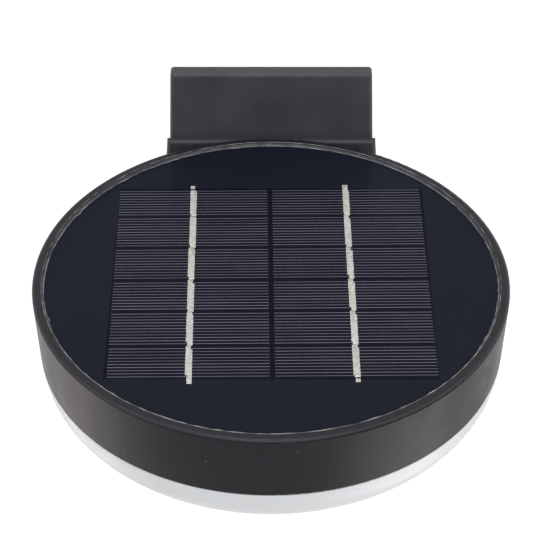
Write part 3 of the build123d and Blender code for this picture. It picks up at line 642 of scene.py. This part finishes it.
def run_sealant(details, material, chance):
    """Run the uneven bead of sealant round the panel, with a few blobs where it was stopped."""
    blobs = [
        (
            chance.uniform(0, math.tau),
            chance.uniform(*BLOB_SIZE),
            chance.uniform(*BLOB_SPREAD),
        )
        for _ in range(BLOB_COUNT)
    ]
    middle = Vector((lamp_middle.x, lamp_middle.y, 0))
    foot_z = panel_z - BEAD_FOOT
    bm = bmesh.new()
    rings = []
    edges = []
    for station in range(BEAD_STATIONS):
        angle = math.tau * station / BEAD_STATIONS
        out = Vector((math.cos(angle), math.sin(angle), 0))
        slow = noise.noise(out * SLOW_WAVES)
        quick = noise.noise(out * QUICK_WAVES)
        swell = 0.0
        for at, size, spread in blobs:
            apart = math.remainder(angle - at, math.tau)
            swell += size * math.exp(-((apart / spread) ** 2))
        width = details.bead_width * (1 + SLOW_WIDTH * slow + QUICK_WIDTH * quick) + swell
        wetted = details.bead_climb + SLOW_CLIMB * slow + QUICK_CLIMB * quick
        climb = (rim_z - panel_z) * min(BEAD_MOST, wetted)
        toe = panel_r - width
        reach = seat_r - toe
        edges.append((out, toe))
        section = [(toe + a * reach, panel_z + b * climb) for a, b in BEAD_FACE]
        section += [(seat_r, panel_z + climb), (seat_r, foot_z)]
        section += [(panel_r, foot_z), (panel_r, panel_z)]
        rings.append([bm.verts.new(middle + out * r + Vector((0, 0, z))) for r, z in section])
    bridge_round(bm, rings)
    piece = finish_piece(bm, "sealant_bead", material, "lamp")
    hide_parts("panel_sealant")
    return edges


def trim_sealant(edges, details, material):
    """Lay the thin pale strips along the bead's inner and upper edges: dried sealant, and a
    painted highlight, the upper one widest in front and the lower one widest at the sides.
    """
    bm = bmesh.new()
    middle = Vector((lamp_middle.x, lamp_middle.y, panel_z))
    rise = details.skin_height
    for is_upper in (False, True):
        # each skin reads its own stretch of the noise
        wave_start = Vector((9 if is_upper else 4, 0, 0))
        rings = []
        for out, toe in edges:
            wave = noise.noise(out * SKIN_WAVES + wave_start)
            width = details.skin_width * (1 + SKIN_UNEVEN * wave)
            if is_upper:
                # painted highlight: the upper strip widens towards the front
                width *= UPPER_SKIN_AND_HIGHLIGHT[0] + UPPER_SKIN_AND_HIGHLIGHT[1] * max(0, -out.y)
                r = seat_r - UPPER_INSET * width
                z = rim_z - panel_z - rise
            else:
                # painted highlight: the lower strip is widest at the sides
                width *= LOWER_SKIN_AND_HIGHLIGHT[0] - LOWER_SKIN_AND_HIGHLIGHT[1] * abs(out.y)
                r = toe
                z = 0
            section = [(r + a * width, z + b * rise) for a, b in SKIN_SECTION]
            rings.append(
                [bm.verts.new(middle + out * a + Vector((0, 0, b))) for a, b in section]
            )
        bridge_round(bm, rings)
    finish_piece(bm, "sealant_skin_and_highlight", material, "lamp")


# ------------------------------------------------------------------ operators


class FENCELIGHT_OT_housing(bpy.types.Operator):
    """Give the housing and the wall plate their moulded charcoal"""

    bl_idname = "fence_light.housing"
    bl_label = "Housing and wall plate"

    def execute(self, context):
        colours = context.scene.fence_light_colours
        details = context.scene.fence_light_details
        charcoal = moulded_plastic(
            "housing_plastic", colours.charcoal, colours, details, is_housing=True
        )
        dress("housing", charcoal)
        dress("wall_plate", moulded_plastic("plate_plastic", colours.plate, colours, details))
        return {"FINISHED"}


class FENCELIGHT_OT_lens(bpy.types.Operator):
    """Give the lens its opal plastic"""

    bl_idname = "fence_light.lens"
    bl_label = "Opal lens"

    def execute(self, context):
        dress("lens", opal_plastic(context.scene.fence_light_colours))
        return {"FINISHED"}


class FENCELIGHT_OT_panel(bpy.types.Operator):
    """Finish the panel's board and cells, and print the cells' fingers"""

    bl_idname = "fence_light.panel"
    bl_label = "Solar panel"

    def execute(self, context):
        colours = context.scene.fence_light_colours
        details = context.scene.fence_light_details
        board = resin_face(
            "panel_board", colours.board, share=0.08, scale=30, gap=colours.gap
        )
        dress("solar_board", board)
        silicon = resin_face("silicon", colours.silicon, share=0.15, scale=60)
        silver = printed_silver(colours)
        chance = random.Random(FINGER_SEED)
        for side in ("left", "right"):
            cells = f"solar_cells_{side}"
            dress(cells, silicon)
            lay_fingers(cells, f"cell_fingers_{side}", details, silver, chance)
        return {"FINISHED"}


class FENCELIGHT_OT_ribbons(bpy.types.Operator):
    """Solder the ribbons and tabs on the cells"""

    bl_idname = "fence_light.ribbons"
    bl_label = "Ribbons"

    def execute(self, context):
        details = context.scene.fence_light_details
        tin = tinned_copper(context.scene.fence_light_colours)
        chance = random.Random(RIBBON_SEED)
        for side in ("left", "right"):
            lay_ribbons(f"ribbons_{side}", f"soldered_ribbons_{side}", details, tin, chance)
        dress("string_tabs", tin)
        return {"FINISHED"}


class FENCELIGHT_OT_sealant(bpy.types.Operator):
    """Run the sealant between panel and rim"""

    bl_idname = "fence_light.sealant"
    bl_label = "Sealant"

    def execute(self, context):
        colours = context.scene.fence_light_colours
        details = context.scene.fence_light_details
        edges = run_sealant(details, sealant_gel(colours), random.Random(SEALANT_SEED))
        trim_sealant(edges, details, sealant_skin_and_highlight(colours))
        return {"FINISHED"}


class FENCELIGHT_OT_light_tray(bpy.types.Operator):
    """Finish the light tray, its lamp board and what stands on it"""

    bl_idname = "fence_light.light_tray"
    bl_label = "Light tray"

    def execute(self, context):
        white = context.scene.fence_light_colours.tray
        phosphor = plain_finish("phosphor", (0.85, 0.66, 0.13), 0.3, share=0.1, scale=900)
        dress("light_tray", plain_finish("tray_plastic", white, 0.4))
        dress("led_board", plain_finish("white_board", (0.8, 0.8, 0.77), 0.35))
        dress("led_chips", phosphor)
        dress("led_resistors", plain_finish("resistor_body", (0.02, 0.02, 0.022), 0.4))
        return {"FINISHED"}


class FENCELIGHT_OT_control_board(bpy.types.Operator):
    """Finish the control board and its components"""

    bl_idname = "fence_light.control_board"
    bl_label = "Control board"

    def execute(self, context):
        white = context.scene.fence_light_colours.tray
        copper = plain_finish(
            "copper_wire",
            (0.6, 0.22, 0.08),
            0.35,
            share=0.2,
            scale=1500,
            metallic=0.9,
            relief=0.05 * MM,
        )
        dress("control_board", plain_finish("green_board", (0.006, 0.07, 0.022), 0.3))
        dress("controller_chip", plain_finish("chip_body", (0.012, 0.012, 0.013), 0.45))
        dress("coil", copper)
        dress("capacitor", plain_finish("capacitor_sleeve", (0.01, 0.015, 0.07), 0.3))
        dress("wire_connectors", plain_finish("connector_plastic", white, 0.4))
        return {"FINISHED"}


class FENCELIGHT_OT_battery(bpy.types.Operator):
    """Finish the battery, its tabs and its strap"""

    bl_idname = "fence_light.battery"
    bl_label = "Battery"

    def execute(self, context):
        white = context.scene.fence_light_colours.tray
        nickel = plain_finish(
            "nickel", (0.6, 0.58, 0.53), 0.3, share=0.08, scale=600, metallic=1.0
        )
        dress("battery_cell", plain_finish("battery_sleeve", (0.01, 0.1, 0.32), 0.28))
        dress("battery_tabs", nickel)
        dress("battery_strap", plain_finish("strap_plastic", white, 0.42))
        return {"FINISHED"}


class FENCELIGHT_OT_screws(bpy.types.Operator):
    """Finish the screws inside the lamp"""

    bl_idname = "fence_light.screws"
    bl_label = "Screws"

    def execute(self, context):
        steel = plain_finish(
            "zinc_steel", (0.5, 0.5, 0.51), 0.32, share=0.1, scale=700, metallic=1.0
        )
        for node in ("tray_screws", "led_board_screws", "board_screws", "strap_screws"):
            dress(node, steel)
        return {"FINISHED"}


class FENCELIGHT_OT_leads(bpy.types.Operator):
    """Finish the red and black leads"""

    bl_idname = "fence_light.leads"
    bl_label = "Leads"

    def execute(self, context):
        red = plain_finish("red_insulation", (0.4, 0.012, 0.01), 0.35, share=0.08, scale=400)
        black = plain_finish("black_insulation", (0.01, 0.01, 0.01), 0.38, share=0.1, scale=400)
        for place in ("panel", "led", "battery"):
            dress(f"{place}_lead_red", red)
            dress(f"{place}_lead_black", black)
        return {"FINISHED"}


class FENCELIGHT_OT_push_switch(bpy.types.Operator):
    """Finish the push switch and its button"""

    bl_idname = "fence_light.push_switch"
    bl_label = "Push switch"

    def execute(self, context):
        colours = context.scene.fence_light_colours
        soft = plain_finish("soft_button", colours.button, 0.6, share=0.04, scale=200)
        dress("switch_button", soft)
        dress("switch_plunger", plain_finish("plunger_plastic", colours.tray, 0.4))
        dress("switch_body", plain_finish("switch_case", (0.015, 0.015, 0.016), 0.45))
        return {"FINISHED"}


class FENCELIGHT_OT_seals(bpy.types.Operator):
    """Finish the seals of the lens and the button"""

    bl_idname = "fence_light.seals"
    bl_label = "Seals"

    def execute(self, context):
        rubber = plain_finish(
            "seal_rubber", (0.02, 0.02, 0.02), 0.7, share=0.15, scale=300, relief=0.03 * MM
        )
        dress("seal_ring", rubber)
        dress("button_seal", rubber)
        return {"FINISHED"}


def place_camera(studio, scene):
    """Camera at the height and distance from which the lamp is shown."""
    lean = studio.elevation
    back = Vector((0, -math.cos(lean), math.sin(lean)))
    up = Vector((0, math.sin(lean), math.cos(lean)))
    right = Vector((1, 0, 0))
    middle = Vector((lamp_middle.x, lamp_middle.y, rim_z))
    place = middle + back * studio.distance + right * studio.slide + up * studio.lift
    turn = Matrix((right, up, back)).transposed().to_4x4()
    camera = bpy.data.objects.new("camera", bpy.data.cameras.new("camera"))
    scene.collection.objects.link(camera)
    camera.data.lens = studio.lens
    camera.data.clip_start = 0.01
    camera.matrix_world = Matrix.Translation(place) @ turn
    scene.camera = camera


def seen_by_eye(tree):
    """1 where the camera sees, straight, in a reflection or through glass, and 0 elsewhere."""
    rays = tree.nodes.new("ShaderNodeLightPath")
    seen = rays.outputs["Is Camera Ray"]
    for ray in ("Is Glossy Ray", "Is Transmission Ray"):
        either = tree.nodes.new("ShaderNodeMath")
        either.operation = "MAXIMUM"
        tree.links.new(seen, either.inputs[0])
        tree.links.new(rays.outputs[ray], either.inputs[1])
        seen = either.outputs["Value"]
    return seen


def light_room(strength, scene):
    """White room that also stands behind the lamp and in its reflections."""
    world = bpy.data.worlds.new("white_room")
    world.use_nodes = True
    scene.world = world
    tree = world.node_tree
    seen = tree.nodes["Background"]
    seen.inputs["Color"].default_value = (1, 1, 1, 1)
    lit = tree.nodes.new("ShaderNodeBackground")
    lit.inputs["Color"].default_value = (1, 1, 1, 1)
    lit.inputs["Strength"].default_value = strength
    either = tree.nodes.new("ShaderNodeMixShader")
    tree.links.new(seen_by_eye(tree), either.inputs["Fac"])
    tree.links.new(lit.outputs["Background"], either.inputs[1])
    tree.links.new(seen.outputs["Background"], either.inputs[2])
    tree.links.new(either.outputs["Shader"], tree.nodes["World Output"].inputs["Surface"])


def add_softbox(name, place, side, power, colour, scene):
    """Square softbox that faces the lamp."""
    light = bpy.data.lights.new(name, "AREA")
    light.shape = "SQUARE"
    light.size = side
    light.energy = power
    light.color = colour
    box = bpy.data.objects.new(name, light)
    scene.collection.objects.link(box)
    box.location = place
    box.rotation_euler = (lamp_middle - box.location).to_track_quat("-Z", "Y").to_euler()


def lay_floor(drop, scene):
    """Plain pale floor, white to the camera where no shadow falls, and open from below."""
    corners = ((-1, -1), (1, -1), (1, 1), (-1, 1))
    points = [(x * FLOOR_HALF, y * FLOOR_HALF, -drop) for x, y in corners]
    mesh = bpy.data.meshes.new("floor")
    mesh.from_pydata(points, [], [(0, 1, 2, 3)])
    floor = bpy.data.objects.new("floor", mesh)
    scene.collection.objects.link(floor)
    material = bpy.data.materials.new("pale_floor")
    material.use_nodes = True
    tree = material.node_tree
    tree.nodes.remove(tree.nodes["Principled BSDF"])
    paint = tree.nodes.new("ShaderNodeBsdfDiffuse")
    paint.inputs["Color"].default_value = (FLOOR_GREY, FLOOR_GREY, FLOOR_GREY, 1)
    glow = tree.nodes.new("ShaderNodeEmission")
    level = tree.nodes.new("ShaderNodeMath")
    level.operation = "MULTIPLY"
    level.inputs[1].default_value = FLOOR_GLOW
    both = tree.nodes.new("ShaderNodeAddShader")
    side = tree.nodes.new("ShaderNodeNewGeometry")
    open_below = tree.nodes.new("ShaderNodeBsdfTransparent")
    either = tree.nodes.new("ShaderNodeMixShader")
    tree.links.new(seen_by_eye(tree), level.inputs[0])
    tree.links.new(level.outputs["Value"], glow.inputs["Strength"])
    tree.links.new(paint.outputs["BSDF"], both.inputs[0])
    tree.links.new(glow.outputs["Emission"], both.inputs[1])
    tree.links.new(side.outputs["Backfacing"], either.inputs["Fac"])
    tree.links.new(both.outputs["Shader"], either.inputs[1])
    tree.links.new(open_below.outputs["BSDF"], either.inputs[2])
    tree.links.new(either.outputs["Shader"], tree.nodes["Material Output"].inputs["Surface"])
    mesh.materials.append(material)


class FENCELIGHT_OT_stage(bpy.types.Operator):
    """Set the camera, the white room, the softboxes and the floor"""

    bl_idname = "fence_light.stage"
    bl_label = "Studio"

    def execute(self, context):
        scene = context.scene
        studio = scene.fence_light_studio
        place_camera(studio, scene)
        light_room(studio.room_light, scene)
        for name, place, side, share, colour in SOFTBOXES:
            add_softbox(name, place, side, share * studio.softbox_light, colour, scene)
        lay_floor(studio.floor_drop, scene)
        scene.view_settings.view_transform = "Standard"
        return {"FINISHED"}


class FENCELIGHT_PT_panel(bpy.types.Panel):
    """Lists the pieces of the fence light and their settings"""

    bl_idname = "FENCELIGHT_PT_panel"
    bl_label = "Fence Light"
    bl_space_type = "VIEW_3D"
    bl_region_type = "UI"
    bl_category = "Fence Light"

    def draw(self, context):
        layout = self.layout
        for operator in OPERATORS:
            layout.operator(operator.bl_idname)
        scene = context.scene
        groups = (scene.fence_light_colours, scene.fence_light_details, scene.fence_light_studio)
        for group in groups:
            box = layout.box()
            for name in group.__annotations__:
                box.prop(group, name)


OPERATORS = (
    FENCELIGHT_OT_housing,
    FENCELIGHT_OT_lens,
    FENCELIGHT_OT_panel,
    FENCELIGHT_OT_ribbons,
    FENCELIGHT_OT_sealant,
    FENCELIGHT_OT_light_tray,
    FENCELIGHT_OT_control_board,
    FENCELIGHT_OT_battery,
    FENCELIGHT_OT_screws,
    FENCELIGHT_OT_leads,
    FENCELIGHT_OT_push_switch,
    FENCELIGHT_OT_seals,
    FENCELIGHT_OT_stage,
)
CLASSES = (FenceLightColours, FenceLightDetails, FenceLightStudio, *OPERATORS, FENCELIGHT_PT_panel)


def register():
    """Register the classes and put their settings on the scene."""
    for cls in CLASSES:
        bpy.utils.register_class(cls)
    bpy.types.Scene.fence_light_colours = PointerProperty(type=FenceLightColours)
    bpy.types.Scene.fence_light_details = PointerProperty(type=FenceLightDetails)
    bpy.types.Scene.fence_light_studio = PointerProperty(type=FenceLightStudio)


def unregister():
    """Take the settings and the classes away again."""
    del bpy.types.Scene.fence_light_studio
    del bpy.types.Scene.fence_light_details
    del bpy.types.Scene.fence_light_colours
    for cls in reversed(CLASSES):
        bpy.utils.unregister_class(cls)


def main():
    """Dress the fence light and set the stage."""
    register()
    bpy.ops.fence_light.housing()
    bpy.ops.fence_light.lens()
    bpy.ops.fence_light.panel()
    bpy.ops.fence_light.ribbons()
    bpy.ops.fence_light.sealant()
    bpy.ops.fence_light.light_tray()
    bpy.ops.fence_light.control_board()
    bpy.ops.fence_light.battery()
    bpy.ops.fence_light.screws()
    bpy.ops.fence_light.leads()
    bpy.ops.fence_light.push_switch()
    bpy.ops.fence_light.seals()
    bpy.ops.fence_light.stage()


if __name__ == "__main__":
    main()
